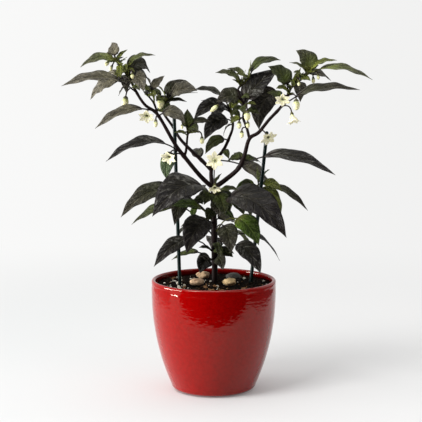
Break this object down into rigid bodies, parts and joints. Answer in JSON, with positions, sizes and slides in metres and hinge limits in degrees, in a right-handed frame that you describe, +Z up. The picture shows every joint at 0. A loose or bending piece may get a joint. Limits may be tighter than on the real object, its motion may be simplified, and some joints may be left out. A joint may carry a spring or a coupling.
{
  "type": "potted chilli pepper plant",
  "caption": "Young purple-leaved chilli pepper plant in flower and bud, held by green stakes in a round red glazed pot of soil with pebbles.",
  "frame": {"origin": "on the ground under the middle of the pot's foot", "axes": "+Z up out of the pot, -Y the front of the plant, +X to its right as seen from the front"},
  "size_m": [0.36, 0.1584, 0.4196],
  "materials": {
    "glaze_red": "gloss",
    "soil": "matte",
    "pebble_tan": "satin",
    "pebble_grey": "satin",
    "stake_green": "satin",
    "leaf_purple": "satin",
    "petal_cream": "matte"
  },
  "bodies": {
    "root": {"pot": "glaze_red", "soil": "soil", "pebble_1": "pebble_tan", "pebble_2": "pebble_tan", "pebble_3": "pebble_tan", "pebble_4": "pebble_grey", "stake_left": "stake_green", "stake_right": "stake_green", "trunk": "leaf_purple", "left_limb": "leaf_purple", "centre_limb": "leaf_purple", "right_limb": "leaf_purple", "left_inner_limb": "leaf_purple", "left_twig": "leaf_purple", "left_side_twig": "leaf_purple", "right_twig": "leaf_purple", "right_low_shoot": "leaf_purple", "left_low_shoot": "leaf_purple", "bloom_centre": "petal_cream", "bloom_fork": "petal_cream", "bloom_left_low": "petal_cream", "bloom_left_outer": "petal_cream", "bloom_right_bell": "petal_cream", "bloom_right_low": "petal_cream", "bloom_right_upper": "petal_cream", "bud_1": "petal_cream", "bud_2": "petal_cream", "bud_3": "petal_cream", "bud_4": "petal_cream", "bud_5": "petal_cream", "bud_6": "petal_cream", "bud_7": "petal_cream", "bud_8": "petal_cream", "bud_9": "petal_cream", "bud_10": "petal_cream", "bud_11": "petal_cream", "bud_12": "petal_cream", "bud_13": "petal_cream", "bud_14": "petal_cream", "bud_15": "petal_cream", "bud_16": "petal_cream", "bud_17": "petal_cream"}
  },
  "joints": []
}
